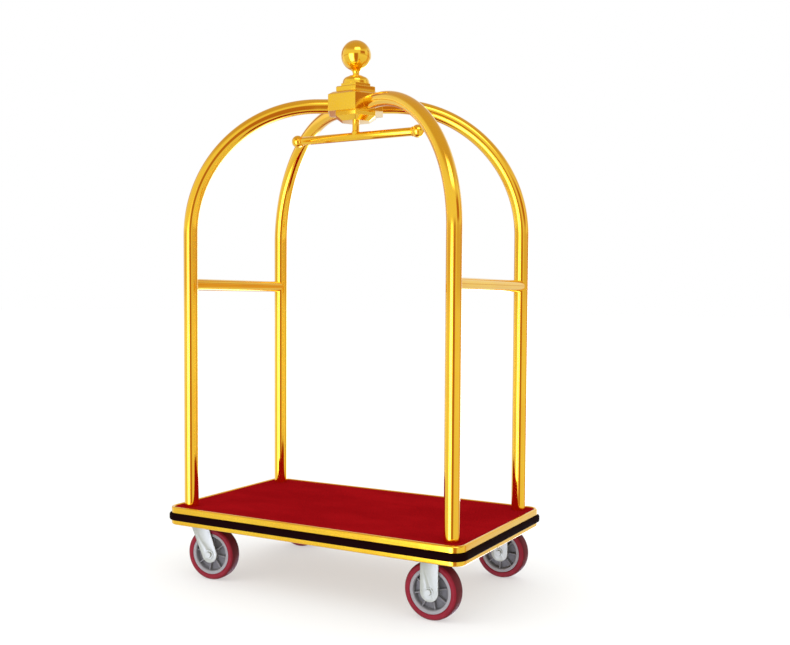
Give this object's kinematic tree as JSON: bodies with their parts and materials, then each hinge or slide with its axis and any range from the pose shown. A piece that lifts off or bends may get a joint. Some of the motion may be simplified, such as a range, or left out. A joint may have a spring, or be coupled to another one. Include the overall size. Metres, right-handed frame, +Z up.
{
  "type": "hotel luggage cart",
  "caption": "Bow-top luggage trolley: carpeted deck with bumper, arched tube frame meeting at a crown hub with ball finial and hanging bar, on rigid and swivel casters.",
  "frame": {"origin": "on the floor under the middle of the deck", "axes": "+Z up, +X along the deck towards the end with the rigid casters, +Y to the rear"},
  "size_m": [1.2, 0.7, 1.942],
  "materials": {
    "polished_gold": "polished titanium-gold plating",
    "anodised_gold": "gold anodised aluminium section",
    "red_carpet": "short cut pile",
    "bumper_rubber": "satin black",
    "deck_plywood": "plywood",
    "frame_paint": "satin black powder coat",
    "zinc_steel": "bright zinc plate",
    "bearing_steel": "ground steel",
    "cast_aluminium": "as cast",
    "grey_nylon": "moulded grey nylon",
    "red_polyurethane": "satin polyurethane"
  },
  "bodies": {
    "cart": {"bar_end_balls": "polished_gold", "bow_tube_front_left": "polished_gold", "bow_tube_front_right": "polished_gold", "bow_tube_rear_left": "polished_gold", "bow_tube_rear_right": "polished_gold", "bumper_strip": "bumper_rubber", "caster_bolts": "zinc_steel", "caster_mounting_pads": "frame_paint", "caster_nuts": "zinc_steel", "deck_board": "deck_plywood", "deck_carpet": "red_carpet", "deck_rim": "anodised_gold", "finial_ball": "polished_gold", "frame_cross_members": "frame_paint", "frame_long_members": "frame_paint", "hanger_rod": "polished_gold", "hanging_bar": "polished_gold", "hub_base": "polished_gold", "hub_body": "polished_gold", "hub_cap": "polished_gold", "hub_dome": "polished_gold", "hub_spider": "cast_aluminium", "king_nuts": "zinc_steel", "king_pins": "zinc_steel", "post_bolts": "zinc_steel", "post_plugs": "zinc_steel", "rigid_axle_bolts": "zinc_steel", "rigid_axle_nuts": "zinc_steel", "rigid_axle_sleeves": "zinc_steel", "rigid_front_fork": "zinc_steel", "rigid_front_plate": "zinc_steel", "rigid_rear_fork": "zinc_steel", "rigid_rear_plate": "zinc_steel", "side_rail_left": "polished_gold", "side_rail_right": "polished_gold", "swivel_front_plate": "zinc_steel", "swivel_front_race_balls": "bearing_steel", "swivel_rear_plate": "zinc_steel", "swivel_rear_race_balls": "bearing_steel", "tie_stud": "zinc_steel"},
    "swivel_front": {"swivel_front_axle_bolt": "zinc_steel", "swivel_front_axle_nut": "zinc_steel", "swivel_front_axle_sleeve": "zinc_steel", "swivel_front_fork": "zinc_steel"},
    "swivel_rear": {"swivel_rear_axle_bolt": "zinc_steel", "swivel_rear_axle_nut": "zinc_steel", "swivel_rear_axle_sleeve": "zinc_steel", "swivel_rear_fork": "zinc_steel"},
    "wheel_left_front": {"swivel_front_bearings": "bearing_steel", "swivel_front_tyre": "red_polyurethane", "swivel_front_wheel_core": "grey_nylon"},
    "wheel_left_rear": {"swivel_rear_bearings": "bearing_steel", "swivel_rear_tyre": "red_polyurethane", "swivel_rear_wheel_core": "grey_nylon"},
    "wheel_right_front": {"rigid_front_bearings": "bearing_steel", "rigid_front_tyre": "red_polyurethane", "rigid_front_wheel_core": "grey_nylon"},
    "wheel_right_rear": {"rigid_rear_bearings": "bearing_steel", "rigid_rear_tyre": "red_polyurethane", "rigid_rear_wheel_core": "grey_nylon"}
  },
  "joints": [
    {"name": "caster_front_swivel", "type": "hinge", "parent": "cart", "child": "swivel_front", "pos_m": [-0.469, -0.28, 0.2035], "axis": [0, 0, 1], "continuous": true},
    {"name": "wheel_left_front_spin", "type": "hinge", "parent": "swivel_front", "child": "wheel_left_front", "pos_m": [-0.42731, -0.27488, 0.095], "axis": [-0.1219, 0.9925, 0], "continuous": true},
    {"name": "wheel_right_front_spin", "type": "hinge", "parent": "cart", "child": "wheel_right_front", "pos_m": [0.469, -0.28, 0.095], "axis": [0, 1, 0], "continuous": true},
    {"name": "caster_rear_swivel", "type": "hinge", "parent": "cart", "child": "swivel_rear", "pos_m": [-0.469, 0.28, 0.2035], "axis": [0, 0, 1], "continuous": true},
    {"name": "wheel_left_rear_spin", "type": "hinge", "parent": "swivel_rear", "child": "wheel_left_rear", "pos_m": [-0.4271, 0.28293, 0.095], "axis": [-0.0698, 0.9976, 0], "continuous": true},
    {"name": "wheel_right_rear_spin", "type": "hinge", "parent": "cart", "child": "wheel_right_rear", "pos_m": [0.469, 0.28, 0.095], "axis": [0, 1, 0], "continuous": true}
  ]
}
